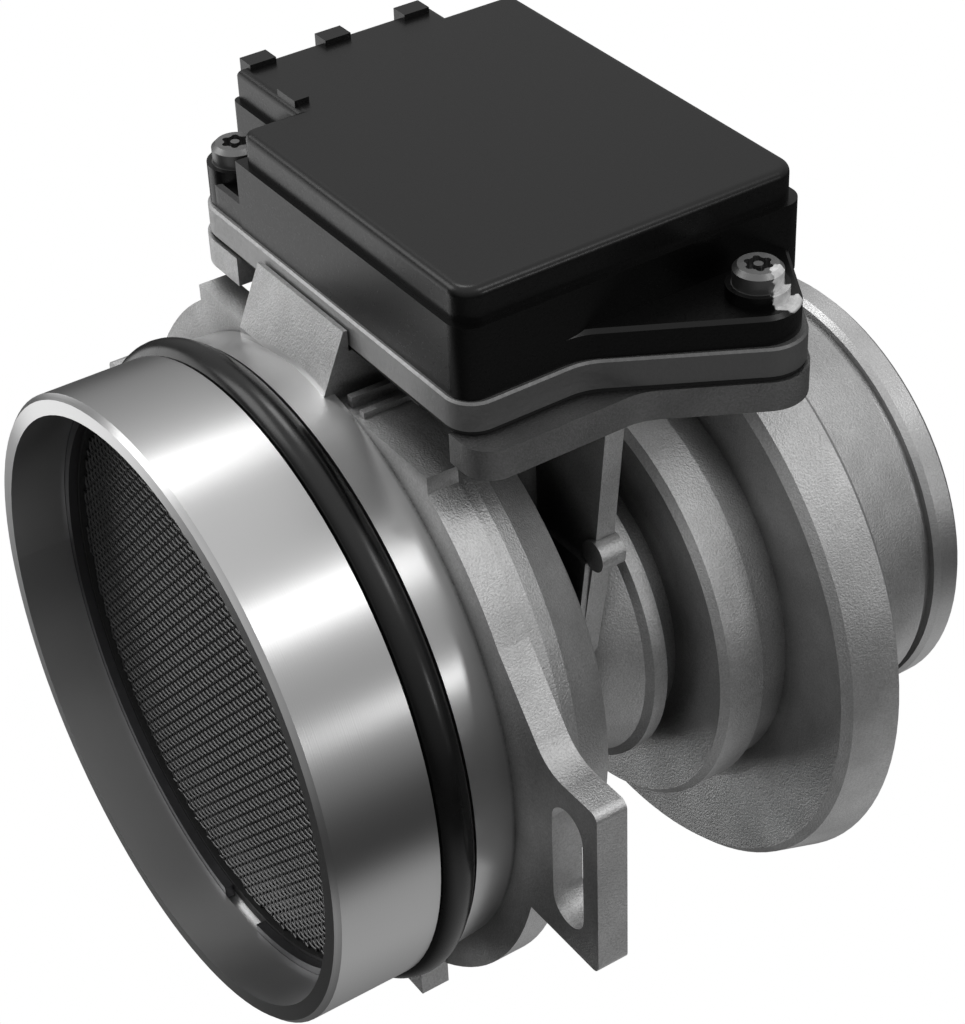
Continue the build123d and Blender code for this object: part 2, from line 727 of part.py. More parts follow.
# Circuit board on the housing floor, with its chips
board_bottom = plate_top + 2.0
board_top = board_bottom + board_thickness
board_centre = (housing_centre_x + 1.5, -2.5)
board_far = board_centre[1] + board_half_width
with BuildPart() as circuit_board:
    with BuildSketch(Plane.XY.offset(board_bottom)):
        with Locations(board_centre):
            Rectangle(2 * board_half_length, 2 * board_half_width)
            with Locations((-board_half_length, board_half_width)):
                Rectangle(16, 20, mode=Mode.SUBTRACT)
        with Locations((well_x, 0)):
            Circle(well_radius - 0.8, mode=Mode.SUBTRACT)
    extrude(amount=board_thickness)
circuit_board.part.label = "circuit_board"
export_step(circuit_board.part, "parts/circuit_board.step")
for name, place, size in (
    ("control_chip", (board_centre[0] - 3.5, board_centre[1] - board_half_width * 0.6), (10, 8, 1.8)),
    ("output_chip", (board_centre[0] + board_half_length * 0.7, board_centre[1] + 8), (5, 6, 1.6)),
    ("power_transistor", (board_centre[0] - board_half_length * 0.7, board_centre[1] - 6), (6.5, 6, 2.3)),
):
    with BuildPart() as chip:
        with BuildSketch(Plane.XY.offset(board_top)):
            with Locations(place):
                Rectangle(size[0], size[1])
        extrude(amount=size[2])
        chip_edges = chip.faces().sort_by(Axis.Z)[-1].edges()
        chamfer(chip_edges, 0.25)
    chip.part.label = name
    export_step(chip.part, "parts/" + name + ".step")

# Terminals through the connector's back wall, bent down to the board
for index in range(terminal_count):
    name = "terminal_" + str(index + 1)
    terminal_x = connector_centre_x + (index - (terminal_count - 1) / 2) * terminal_pitch
    with BuildPart() as terminal:
        with BuildSketch(Plane.YZ.offset(terminal_x - terminal_width / 2)):
            half_blade = terminal_thickness / 2
            Polygon(
                (board_far - 2.0, board_top), (board_far - 2.0, board_top + terminal_thickness),
                (board_far - 0.6, board_top + terminal_thickness),
                (socket_back - socket_back_wall, terminal_level + half_blade),
                (connector_reach - 1.6, terminal_level + half_blade),
                (connector_reach - 1.6, terminal_level - half_blade),
                (socket_back - socket_back_wall, terminal_level - half_blade),
                (board_far - 0.2, board_top),
                align=None,
            )
        extrude(amount=terminal_width)
    terminal.part.label = name
    export_step(terminal.part, "parts/" + name + ".step")

# Small ceramic capacitors on the board, one group
with BuildPart() as chip_capacitors:
    with BuildSketch(Plane.XY.offset(board_top)):
        with Locations(board_centre):
            with Locations(
                (-6, board_half_width - 10), (0, board_half_width - 7), (6, board_half_width - 10),
                (10, 12 - board_half_width), (10, 15 - board_half_width), (-12, 8 - board_half_width),
            ):
                Rectangle(2.0, 1.2)
    extrude(amount=0.9)
chip_capacitors.part.label = "chip_capacitors"
export_step(chip_capacitors.part, "parts/chip_capacitors.step")

# Probe: a round holder through plate and well, with a window for the bypass air
probe_radius = well_radius - 1.0 - probe_clearance
probe_head_bottom = plate_top + 0.4
seal_groove_low = platform_bottom - 3.0
probe_seal_section = 2.6
with BuildPart() as probe_holder:
    with BuildSketch(Plane.XY.offset(probe_tip)):
        with Locations((well_x, 0)):
            Circle(probe_radius)
    extrude(amount=board_bottom - probe_tip)
    with BuildSketch(Plane.XY.offset(seal_groove_low)):
        with Locations((well_x, 0)):
            Circle(probe_radius + 1)
            Circle(well_radius - probe_seal_section, mode=Mode.SUBTRACT)
    extrude(amount=probe_seal_section + 0.2, mode=Mode.SUBTRACT)
    with BuildSketch(Plane.XY.offset(duct_height - probe_window / 2)):
        with Locations((well_x, 0)):
            Rectangle(2 * well_radius, probe_window)
    extrude(amount=probe_window, mode=Mode.SUBTRACT)
probe_holder.part.label = "probe_holder"
export_step(probe_holder.part, "parts/probe_holder.step")

# Rubber ring that seals and centres the probe in its well
with BuildPart() as probe_seal:
    with BuildSketch(Plane.XZ):
        with Locations((well_x + well_radius - probe_seal_section / 2,
                        seal_groove_low + probe_seal_section / 2 + 0.1)):
            RegularPolygon(probe_seal_section / 2, 8, major_radius=False, rotation=22.5)
    revolve(axis=Axis((well_x, 0, 0), (0, 0, 1)))
probe_seal.part.label = "probe_seal"
export_step(probe_seal.part, "parts/probe_seal.step")

# Two posts in the window, the hot wire across them and the air temperature bead beside them
window_roof = duct_height + probe_window / 2
with BuildPart() as probe_posts:
    with BuildSketch(Plane.XY.offset(window_roof)):
        with Locations((well_x, 0)):
            with GridLocations(1, post_spacing, 1, 2):
                Circle(post_radius)
    extrude(amount=-(probe_window / 2 + 3 * wire_radius))
probe_posts.part.label = "probe_posts"
export_step(probe_posts.part, "parts/probe_posts.step")
with BuildPart() as hot_wire:
    wire_span = post_spacing - 2 * post_radius
    with BuildSketch(Plane.XZ.offset(wire_span / 2)):
        with Locations((well_x, duct_height)):
            Circle(wire_radius)
    extrude(amount=-wire_span)
hot_wire.part.label = "hot_wire"
export_step(hot_wire.part, "parts/hot_wire.step")
with BuildPart() as air_temperature_bead:
    with BuildSketch(Plane.XY.offset(window_roof)):
        with Locations((well_x - bead_offset, 0)):
            Circle(0.4 * bead_radius)
    extrude(amount=-probe_window / 3)
    with BuildSketch(Plane.XY.offset(window_roof - probe_window / 3)):
        with Locations((well_x - bead_offset, 0)):
            Circle(bead_radius)
    extrude(amount=-2 * bead_radius)
    bead_edges = air_temperature_bead.edges().group_by(Axis.Z)[0]
    chamfer(bead_edges, bead_radius / 2)
air_temperature_bead.part.label = "air_temperature_bead"
export_step(air_temperature_bead.part, "parts/air_temperature_bead.step")
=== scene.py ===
# %% [markdown]
# # A mass airflow sensor on white
# This script puts finishes, a woven wire screen and a photo studio around a sensor whose solid pieces
# already exist. The solids come first and stay untouched, so size and fit are settled, and all the work
# here is about how metal, rubber and plastic answer light. Lengths are in metres, as Blender has them.

import math

import bpy
from mathutils import Matrix, Vector


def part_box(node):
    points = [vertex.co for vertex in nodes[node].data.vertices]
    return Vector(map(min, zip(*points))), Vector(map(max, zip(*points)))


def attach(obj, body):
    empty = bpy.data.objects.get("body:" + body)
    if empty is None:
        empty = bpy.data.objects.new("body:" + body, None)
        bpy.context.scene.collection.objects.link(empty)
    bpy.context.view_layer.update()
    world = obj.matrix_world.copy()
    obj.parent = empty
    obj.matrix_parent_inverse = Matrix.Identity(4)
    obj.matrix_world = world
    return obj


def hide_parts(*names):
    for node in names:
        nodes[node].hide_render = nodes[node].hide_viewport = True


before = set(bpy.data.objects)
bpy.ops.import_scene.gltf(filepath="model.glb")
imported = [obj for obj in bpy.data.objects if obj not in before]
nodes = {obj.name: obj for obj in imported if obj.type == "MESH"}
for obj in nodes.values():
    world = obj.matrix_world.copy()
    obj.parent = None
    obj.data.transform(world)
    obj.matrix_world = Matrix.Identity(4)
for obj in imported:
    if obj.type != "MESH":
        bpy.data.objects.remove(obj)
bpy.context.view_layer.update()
scene = bpy.context.scene
print("solid pieces:", len(nodes))

# %% [markdown]
# ## Helpers for the finishes
# A finish is a graph of shader nodes. `add` makes one node, sets what it is told and links what is a socket,
# so every graph below reads from top to bottom. `colour` turns the familiar sRGB hex notation into the linear
# numbers that a shader works with: typing sRGB numbers into it directly gives washed out colours.
# `new_material` starts a graph and `finish_with` puts a material on solid pieces.
# A Mix node has a pair of inputs and an output for each kind of value. They share their names, so they are
# told apart by number, and the numbers get names here.

# %% Helpers
MIX_NUMBER_A, MIX_NUMBER_B, MIX_NUMBER = 2, 3, 0
MIX_VECTOR_A, MIX_VECTOR_B, MIX_VECTOR = 4, 5, 1
MIX_COLOUR_A, MIX_COLOUR_B, MIX_COLOUR = 6, 7, 2
MM_PER_METRE = 1000.0


def add(tree, kind, inputs=None, **settings):
    """Adds one node; inputs that are sockets are linked, and all others are set as values."""
    made = tree.nodes.new(kind)
    for name, value in settings.items():
        setattr(made, name, value)
    for name, value in (inputs or {}).items():
        if isinstance(value, bpy.types.NodeSocket):
            tree.links.new(value, made.inputs[name])
        else:
            made.inputs[name].default_value = value
    return made


def colour(hex_code):
    """An sRGB hex code such as "c8c8c8" as linear red, green, blue and alpha."""
    linear = []
    for start in (0, 2, 4):
        part = int(hex_code[start : start + 2], 16) / 255
        linear.append(part / 12.92 if part <= 0.04045 else ((part + 0.055) / 1.055) ** 2.4)
    return (*linear, 1.0)


def new_material(name):
    """A material with an empty graph, its Principled shader and its output already linked."""
    material = bpy.data.materials.new(name)
    material.use_nodes = True
    tree = material.node_tree
    tree.nodes.clear()
    shader = add(tree, "ShaderNodeBsdfPrincipled")
    add(tree, "ShaderNodeOutputMaterial", {"Surface": shader.outputs["BSDF"]})
    return material, tree, shader


def finish_with(material, *names):
    """Puts the material on the solid pieces of these names."""
    for name in names:
        for slot in nodes[name].material_slots:
            slot.material = material
    print(material.name, "on", ", ".join(names))


# %% [markdown]
# ## Camera
# The camera stood to the front left and above, some 35 cm away. The place, the turn and the focal length
# were worked out from circles and corners seen in the picture. A camera's matrix holds its right, up and
# backward directions as columns, which says a known turn more exactly than three angles do.

# %% Camera
camera_data = bpy.data.cameras.new("studio_camera")
camera = bpy.data.objects.new("studio_camera", camera_data)
scene.collection.objects.link(camera)
camera_place = (-0.1036, -0.2428, 0.2233)
camera_right = Vector((0.8263, -0.5622, -0.0352)).normalized()
camera_back = Vector((-0.4350, -0.6764, 0.5943)).normalized()
camera_up = camera_back.cross(camera_right).normalized()
camera_right = camera_up.cross(camera_back)
turn = Matrix((camera_right, camera_up, camera_back)).transposed()
camera.matrix_world = Matrix.Translation(camera_place) @ turn.to_4x4()
camera_data.lens = 90.6
camera_data.sensor_width = 36.0
camera_data.clip_start = 0.01
camera_data.clip_end = 20.0
scene.camera = camera
scene.view_settings.view_transform = "Standard"
print("lens", camera_data.lens, "mm")

# %% [markdown]
# ## White studio
# The product stands free on pure white. A white dome would light it from everywhere and wash the metal
# out, so only rays that come straight from the camera see white. All other rays see a dim room: pale
# overhead, a dark band some way below eye level and a pale table straight below. The bands run from
# straight down, at 0, to straight up, at 1.

# %% World
room_bands = ((0.14, "c4c4c4"), (0.23, "303030"), (0.38, "545454"), (0.50, "9c9c9c"),
              (0.62, "b0b0b0"), (0.75, "c8c8c8"), (0.85, "ececec"))
world = bpy.data.worlds.new("studio")
scene.world = world
world.use_nodes = True
sky = world.node_tree
sky.nodes.clear()
direction = add(sky, "ShaderNodeTexCoord")
height = add(sky, "ShaderNodeSeparateXYZ", {"Vector": direction.outputs["Generated"]})
upwards = add(sky, "ShaderNodeMapRange",
              {"Value": height.outputs["Z"], "From Min": -1.0, "From Max": 1.0})
room = add(sky, "ShaderNodeValToRGB", {"Fac": upwards.outputs[0]})
bands = room.color_ramp.elements
bands[0].position = 0.0
bands[0].color = colour("cccccc")
bands[1].position = 1.0
bands[1].color = colour("ffffff")
for band_place, band_tone in room_bands:
    bands.new(band_place).color = colour(band_tone)
print("room bands:", len(bands))

# %% [markdown]
# ## Curtain and card
# A dark curtain on the left, low behind the sensor, keeps the faces towards the inlet dark, and a small
# white card beside it is what the inlet's rim mirrors. Both are soft round spots of the world. The dot
# product of a ray's direction with the spot's own is 1 where they agree, and it fades the spot in.

# %% Curtain and card
curtain_direction = (-0.55, 0.55, -0.63)
card_direction = (-0.42, 0.87, -0.26)
card_light = (1.5, 1.5, 1.5, 1.0)
room_strength = 0.8
curtain_side = add(sky, "ShaderNodeVectorMath",
                   {0: direction.outputs["Generated"], 1: curtain_direction}, operation="DOT_PRODUCT")
curtain = add(sky, "ShaderNodeMapRange",
              {"Value": curtain_side.outputs["Value"], "From Min": 0.30, "From Max": 0.85})
shaded = add(sky, "ShaderNodeMix",
             {"Factor": curtain.outputs[0], MIX_COLOUR_A: room.outputs["Color"],
              MIX_COLOUR_B: colour("3c3c3c")}, data_type="RGBA")
card_side = add(sky, "ShaderNodeVectorMath",
                {0: direction.outputs["Generated"], 1: card_direction}, operation="DOT_PRODUCT")
card = add(sky, "ShaderNodeMapRange",
           {"Value": card_side.outputs["Value"], "From Min": 0.905, "From Max": 0.94})
carded = add(sky, "ShaderNodeMix",
             {"Factor": card.outputs[0], MIX_COLOUR_A: shaded.outputs[MIX_COLOUR],
              MIX_COLOUR_B: card_light}, data_type="RGBA")
dim = add(sky, "ShaderNodeBackground",
          {"Color": carded.outputs[MIX_COLOUR], "Strength": room_strength})
white = add(sky, "ShaderNodeBackground", {"Color": colour("ffffff"), "Strength": 1.0})
ray = add(sky, "ShaderNodeLightPath")
both = add(sky, "ShaderNodeMixShader",
           {0: ray.outputs["Is Camera Ray"], 1: dim.outputs[0], 2: white.outputs[0]})
add(sky, "ShaderNodeOutputWorld", {"Surface": both.outputs[0]})
print("world nodes:", len(sky.nodes))

# %% [markdown]
# ## Lamps
# Turned metal stretches each lamp into a stripe along the bore, so the stripes on the spigot tell where the
# lamps hung: one behind the top, one high in front, and one low in front. A fourth, high on the left and
# behind, lights the rim of the inlet. Light falls with distance squared, so each lamp states its distance
# and its size.

# %% Lamps
sensor_middle = Vector((0.056, 0.0, 0.015))


def lamp(name, towards, distance, size, watts):
    """A square area lamp that looks at the sensor's middle from the given direction."""
    data = bpy.data.lights.new(name, "AREA")
    data.shape = "SQUARE"
    data.size = size
    data.energy = watts
    made = bpy.data.objects.new(name, data)
    scene.collection.objects.link(made)
    away = Vector(towards).normalized()
    made.location = sensor_middle + away * distance
    made.rotation_mode = "QUATERNION"
    made.rotation_quaternion = away.to_track_quat("Z", "Y")
    print(name, "at", distance, "m")


lamp("rear_top_lamp", (0.10, 0.42, 0.90), 0.80, 0.24, 0.8)
lamp("high_front_lamp", (0.32, -0.56, 0.76), 0.80, 0.20, 0.50)
lamp("low_front_lamp", (0.45, -0.90, 0.20), 0.85, 0.10, 0.25)
lamp("left_lamp", (-0.62, 0.62, 0.62), 0.75, 0.35, 0.9)

# %% [markdown]
# ## Cast and turned aluminium
# One casting carries two finishes. The spigot and the outlet's lip were turned on a lathe: smooth, with
# fine rings that stretch highlights along the cut. The rest is as it left the mould, with a fine grain.
# The finish depends on place, so distance along the bore and distance from its axis make the mask.
# Each pair below is where the mask starts and where it ends, in metres. The lip is turned less smoothly,
# so it gets a share of the turned finish only.

# %% Where the body was turned
spigot_end = (0.0262, 0.0267)
spigot_outside = (0.0452, 0.0454)
lip_start = (0.1060, 0.1064)
lip_polish = 0.4
body_metal, tree, shader = new_material("cast_aluminium")
place = add(tree, "ShaderNodeTexCoord")
split = add(tree, "ShaderNodeSeparateXYZ", {"Vector": place.outputs["Object"]})
flat = add(tree, "ShaderNodeCombineXYZ", {"Y": split.outputs["Y"], "Z": split.outputs["Z"]})
radius = add(tree, "ShaderNodeVectorMath", {0: flat.outputs["Vector"]}, operation="LENGTH")
near_mouth = add(tree, "ShaderNodeMapRange",
                 {"Value": split.outputs["X"], "From Min": spigot_end[0], "From Max": spigot_end[1],
                  "To Min": 1.0, "To Max": 0.0})
on_spigot = add(tree, "ShaderNodeMapRange",
                {"Value": radius.outputs["Value"], "From Min": spigot_outside[0],
                 "From Max": spigot_outside[1], "To Min": 1.0, "To Max": 0.0})
spigot = add(tree, "ShaderNodeMath",
             {0: near_mouth.outputs[0], 1: on_spigot.outputs[0]}, operation="MULTIPLY")
lip = add(tree, "ShaderNodeMapRange",
          {"Value": split.outputs["X"], "From Min": lip_start[0], "From Max": lip_start[1],
           "To Max": lip_polish})
turned = add(tree, "ShaderNodeMath", {0: spigot.outputs[0], 1: lip.outputs[0]}, operation="MAXIMUM")
print("turned up to", spigot_end[1] * MM_PER_METRE, "mm and from", lip_start[0] * MM_PER_METRE, "mm")

# %% [markdown]
# ## Tone of the casting
# A cast skin is about as bright as the turned metal but never even: the mould leaves broad patches and a
# grain finer than a third of a millimetre. The lathe leaves five or six rings in each millimetre.
# The patterns are stated as marks in a millimetre, and a texture's scale is marks in a metre.

# %% Cast skin
grains_per_mm = 3.6
patches_per_mm = 0.12
rings_per_mm = 5.5
turned_tone = 0.62
grain = add(tree, "ShaderNodeTexNoise",
            {"Vector": place.outputs["Object"], "Scale": grains_per_mm * MM_PER_METRE,
             "Detail": 3.0, "Roughness": 0.6})
patches = add(tree, "ShaderNodeTexNoise",
              {"Vector": place.outputs["Object"], "Scale": patches_per_mm * MM_PER_METRE,
               "Detail": 3.0})
along = add(tree, "ShaderNodeMath",
            {0: split.outputs["X"], 1: radius.outputs["Value"]}, operation="ADD")
rings = add(tree, "ShaderNodeTexNoise",
            {"W": along.outputs[0], "Scale": rings_per_mm * MM_PER_METRE, "Detail": 3.0},
            noise_dimensions="1D")
cast_tone = add(tree, "ShaderNodeMapRange",
                {"Value": patches.outputs["Fac"], "From Min": 0.3, "From Max": 0.7,
                 "To Min": 0.52, "To Max": 0.68})
speckle = add(tree, "ShaderNodeMapRange",
              {"Value": grain.outputs["Fac"], "From Min": 0.3, "From Max": 0.7,
               "To Min": 0.84, "To Max": 1.16})
skin_tone = add(tree, "ShaderNodeMath",
                {0: cast_tone.outputs[0], 1: speckle.outputs[0]}, operation="MULTIPLY")
bare_tone = add(tree, "ShaderNodeMix",
                {"Factor": turned.outputs[0], MIX_NUMBER_A: skin_tone.outputs[0],
                 MIX_NUMBER_B: turned_tone})
print("nodes for the skin:", len(tree.nodes))

# %% [markdown]
# ## Painted shade in corners and on the near side
# Corners of the cast skin and the platform's near side get painted shade, a darkening of the colour where
# shade falls.
# Ambient occlusion tells how closed in a point is, within a few millimetres, so it finds the corners by
# itself. Turned faces get no painted shade.

# %% Painted shade
painted_shade_reach = 0.007
painted_shade_side = (-0.016, -0.030)
platform_height = (0.0415, 0.0435)
painted_shade_darkening = 0.6
# Painted shade: the colour darkens where ambient occlusion finds corners and recesses.
shade_occlusion = add(tree, "ShaderNodeAmbientOcclusion", {"Distance": painted_shade_reach}, samples=8)
painted_shade = add(tree, "ShaderNodeMapRange",
           {"Value": shade_occlusion.outputs["AO"], "From Min": 0.25, "From Max": 0.75,
            "To Min": 0.25, "To Max": 1.0})
shade_except_turned = add(tree, "ShaderNodeMix",
            {"Factor": turned.outputs[0], MIX_NUMBER_A: painted_shade.outputs[0], MIX_NUMBER_B: 1.0})
shaded_tone = add(tree, "ShaderNodeMath",
           {0: bare_tone.outputs[MIX_NUMBER], 1: shade_except_turned.outputs[MIX_NUMBER]}, operation="MULTIPLY")
# Painted shade: the platform's near side, towards -Y, is darkened in its colour.
near_side = add(tree, "ShaderNodeMapRange",
                {"Value": split.outputs["Y"], "From Min": painted_shade_side[0], "From Max": painted_shade_side[1]})
on_platform = add(tree, "ShaderNodeMapRange",
                  {"Value": split.outputs["Z"], "From Min": platform_height[0],
                   "From Max": platform_height[1]})
painted_near_shade = add(tree, "ShaderNodeMath",
           {0: near_side.outputs[0], 1: on_platform.outputs[0]}, operation="MULTIPLY")
near_shade_tone = add(tree, "ShaderNodeMath",
                {0: painted_near_shade.outputs[0], 1: -painted_shade_darkening, 2: 1.0}, operation="MULTIPLY_ADD")
final_tone = add(tree, "ShaderNodeMath",
                 {0: shaded_tone.outputs[0], 1: near_shade_tone.outputs[0]}, operation="MULTIPLY")
print("nodes with soot and oil:", len(tree.nodes))

# %% [markdown]
# ## Gloss and relief
# Turned metal is glossier, and its rings spread a highlight across the cut, which the anisotropic setting
# does. Grain and rings also bend the normals. The inlet's rim is slightly crowned: its normals lean
# outwards, so every part of it mirrors another part of the room.

# %% Gloss and relief
rim_depth = (0.0002, 0.0012)
rim_crown = 0.35
cast_rough = add(tree, "ShaderNodeMapRange",
                 {"Value": grain.outputs["Fac"], "To Min": 0.34, "To Max": 0.52})
rough = add(tree, "ShaderNodeMix",
            {"Factor": turned.outputs[0], MIX_NUMBER_A: cast_rough.outputs[0], MIX_NUMBER_B: 0.30})
streak = add(tree, "ShaderNodeMath", {0: turned.outputs[0], 1: 0.6}, operation="MULTIPLY")
cast_bump = add(tree, "ShaderNodeBump",
                {"Height": grain.outputs["Fac"], "Strength": 0.5, "Distance": 0.00018})
turned_bump = add(tree, "ShaderNodeBump",
                  {"Height": rings.outputs["Fac"], "Strength": 0.15, "Distance": 0.00003})
normal = add(tree, "ShaderNodeMix",
             {"Factor": turned.outputs[0], MIX_VECTOR_A: cast_bump.outputs["Normal"],
              MIX_VECTOR_B: turned_bump.outputs["Normal"]}, data_type="VECTOR")
along_cut = add(tree, "ShaderNodeTangent", direction_type="RADIAL", axis="X")
on_rim = add(tree, "ShaderNodeMapRange",
             {"Value": split.outputs["X"], "From Min": rim_depth[0], "From Max": rim_depth[1],
              "To Min": rim_crown, "To Max": 0.0})
outwards = add(tree, "ShaderNodeVectorMath", {0: flat.outputs["Vector"]}, operation="NORMALIZE")
crown = add(tree, "ShaderNodeVectorMath",
            {0: outwards.outputs[0], "Scale": on_rim.outputs[0]}, operation="SCALE")
crowned = add(tree, "ShaderNodeVectorMath", {0: normal.outputs[MIX_VECTOR], 1: crown.outputs[0]})
facing = add(tree, "ShaderNodeVectorMath", {0: crowned.outputs[0]}, operation="NORMALIZE")
for socket, source in (("Base Color", final_tone.outputs[0]),
                       ("Roughness", rough.outputs[MIX_NUMBER]),
                       ("Anisotropic", streak.outputs[0]),
                       ("Normal", facing.outputs[0]),
                       ("Tangent", along_cut.outputs[0])):
    tree.links.new(source, shader.inputs[socket])
shader.inputs["Metallic"].default_value = 1.0
shader.inputs["Anisotropic Rotation"].default_value = 0.25
finish_with(body_metal, "meter_body")

# %% [markdown]
# ## Base plate
# The plate is die cast and tumbled: duller than the body, with a coarser and shallower grain. Its near side
# gets painted shade, a darker colour. Its edge is the light line that parts the black module from the
# casting.

# %% Plate aluminium
plate_grains_per_mm = 1.5
plate_painted_shade_side = (-0.020, -0.034)
plate_metal, tree, shader = new_material("die_cast_aluminium")
place = add(tree, "ShaderNodeTexCoord")
grain = add(tree, "ShaderNodeTexNoise",
            {"Vector": place.outputs["Object"], "Scale": plate_grains_per_mm * MM_PER_METRE,
             "Detail": 3.0})
level = add(tree, "ShaderNodeMapRange",
            {"Value": grain.outputs["Fac"], "To Min": 0.45, "To Max": 0.70})
split = add(tree, "ShaderNodeSeparateXYZ", {"Vector": place.outputs["Object"]})
# Painted shade: the plate's colour darkens towards its near side, towards -Y.
painted_near_shade = add(tree, "ShaderNodeMapRange",
           {"Value": split.outputs["Y"], "From Min": plate_painted_shade_side[0],
            "From Max": plate_painted_shade_side[1], "To Min": 0.52, "To Max": 0.20})
tree.links.new(painted_near_shade.outputs[0], shader.inputs["Base Color"])
bump = add(tree, "ShaderNodeBump",
           {"Height": grain.outputs["Fac"], "Strength": 0.4, "Distance": 0.00015})
tree.links.new(level.outputs[0], shader.inputs["Roughness"])
tree.links.new(bump.outputs[0], shader.inputs["Normal"])
shader.inputs["Metallic"].default_value = 1.0
finish_with(plate_metal, "module_base_plate")

# %% [markdown]
# ## Nitrile rubber
# The seal ring is smooth and slightly oily, so it is almost black with one narrow highlight. A rubber's
# index of refraction is near 1.52, and its gloss comes from low roughness, not from a bright colour.

# %% Rubber
smears_per_mm = 0.3
nitrile, tree, shader = new_material("nitrile_rubber")
place = add(tree, "ShaderNodeTexCoord")
smear = add(tree, "ShaderNodeTexNoise",
            {"Vector": place.outputs["Object"], "Scale": smears_per_mm * MM_PER_METRE,
             "Detail": 2.0})
level = add(tree, "ShaderNodeMapRange",
            {"Value": smear.outputs["Fac"], "To Min": 0.18, "To Max": 0.34})
tree.links.new(level.outputs[0], shader.inputs["Roughness"])
shader.inputs["Base Color"].default_value = colour("050505")
shader.inputs["IOR"].default_value = 1.52
finish_with(nitrile, "inlet_seal_ring", "probe_seal")
sheet_rubber, tree, shader = new_material("gasket_rubber")
shader.inputs["Base Color"].default_value = colour("161616")
shader.inputs["Roughness"].default_value = 0.7
finish_with(sheet_rubber, "module_gasket")

# %% [markdown]
# ## A round seal ring
# The solid ring has flat sides all round, few enough to stay light. Here it gets its true round section as
# a ring of circles. A ring seal pressed into its groove keeps its round outside, and that is the part seen.

# %% Seal ring
inside_the_solid = 0.997
ring_low, ring_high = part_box("inlet_seal_ring")
ring_x = (ring_low.x + ring_high.x) / 2
ring_section = (ring_high.x - ring_low.x) / 2
ring_radius = ring_high.y - ring_section
bpy.ops.mesh.primitive_torus_add(major_segments=240, minor_segments=28, major_radius=ring_radius,
                                 minor_radius=ring_section * inside_the_solid, location=(ring_x, 0, 0),
                                 rotation=(0, math.pi / 2, 0))
seal = bpy.context.object
seal.name = "round_seal_ring"
seal.data.materials.append(nitrile)
for face in seal.data.polygons:
    face.use_smooth = True
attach(seal, "root")
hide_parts("inlet_seal_ring")
print("seal ring radius", round(ring_radius * MM_PER_METRE, 2), "mm")

# %% [markdown]
# ## Woven wire screen
# Every wire passes over one crossing wire and under the next. Drawing that as a texture fails at a
# slanted view, because light gets caught between real wires, so each wire is a thin six sided rod that
# swings to and fro at every crossing. Straight rods in a grid would look like a printed pattern.

# %% Wires
wire_pitch = 0.00115
wire_radius = 0.00020
wire_sides = 6
swing = 0.00007
rim_clearance = 0.00005
mesh_low, mesh_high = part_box("screen_mesh")
mesh_x = (mesh_low.x + mesh_high.x) / 2
mesh_radius = mesh_high.y - rim_clearance
points = []
faces = []
wire_count = int(mesh_radius / wire_pitch)
for crosswise in (False, True):
    for number in range(-wire_count, wire_count + 1):
        offset = number * wire_pitch
        reach = math.sqrt(max(mesh_radius**2 - offset**2, 0.0))
        steps = int(reach / wire_pitch)
        if steps < 1:
            continue
        first = len(points)
        for step in range(-steps, steps + 1):
            run = step * wire_pitch
            side = math.cos(math.pi * (step + number)) * swing
            if crosswise:
                side = -side
            for corner in range(wire_sides):
                angle = 2 * math.pi * corner / wire_sides
                x = mesh_x + side + wire_radius * math.cos(angle)
                across = offset + wire_radius * math.sin(angle)
                points.append((x, run, across) if crosswise else (x, across, run))
        for step in range(2 * steps):
            base = first + step * wire_sides
            for corner in range(wire_sides):
                following = (corner + 1) % wire_sides
                faces.append((base + corner, base + following,
                              base + following + wire_sides, base + corner + wire_sides))
print("screen wires:", 2 * (2 * wire_count + 1), "triangles:", 2 * len(faces))

# %% [markdown]
# ## One mesh for all wires
# The corners and faces of all wires become one mesh, shaded smooth so that six sides look round. It takes
# the place of the plain disc that stands for the screen among the solid pieces.

# %% Screen mesh
weave = bpy.data.meshes.new("woven_screen")
weave.from_pydata(points, [], faces)
for face in weave.polygons:
    face.use_smooth = True
weave.update()
screen = bpy.data.objects.new("woven_screen", weave)
scene.collection.objects.link(screen)
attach(screen, "root")
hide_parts("screen_mesh")
print("screen radius", round(mesh_radius * MM_PER_METRE, 2), "mm")

# %% [markdown]
# ## Steel of screen, ring and screws
# Stainless wire and the spring ring are mid grey and fairly rough at this scale. The screws are zinc
# plated and dulled, which keeps them quiet against the black housing.

# %% Steels
clouds_per_mm = 0.9


def plain_metal(name, hex_code, roughness, *targets):
    """A bare metal with a faint unevenness of its gloss."""
    material, tree, shader = new_material(name)
    place = add(tree, "ShaderNodeTexCoord")
    cloud = add(tree, "ShaderNodeTexNoise",
                {"Vector": place.outputs["Object"], "Scale": clouds_per_mm * MM_PER_METRE,
                 "Detail": 2.0})
    level = add(tree, "ShaderNodeMapRange",
                {"Value": cloud.outputs["Fac"], "To Min": roughness - 0.08, "To Max": roughness + 0.08})
    tree.links.new(level.outputs[0], shader.inputs["Roughness"])
    shader.inputs["Base Color"].default_value = colour(hex_code)
    shader.inputs["Metallic"].default_value = 1.0
    finish_with(material, *targets)
    return material


wire_steel = plain_metal("woven_stainless_steel", "707070", 0.36)
weave.materials.append(wire_steel)
plain_metal("spring_steel", "6e6e70", 0.35, "screen_retaining_ring")
zinc = plain_metal("zinc_plated_steel", "808080", 0.42, "module_screw_ear", "module_screw_corner",
                   "ear_sleeve", "corner_sleeve")
plain_metal("tinned_brass", "c9c2a8", 0.30, "terminal_1", "terminal_2", "terminal_3",
            "terminal_4", "terminal_5")
plain_metal("probe_steel", "a8a8a8", 0.25, "probe_posts", "hot_wire")

# %% [markdown]
# ## Glass filled nylon
# Housing and lid are moulded in black nylon with glass fibre. Such a skin is matt with a fine pebble and
# a faint sheen at a flat angle. The colour is a very dark grey: a true black would hide every edge.

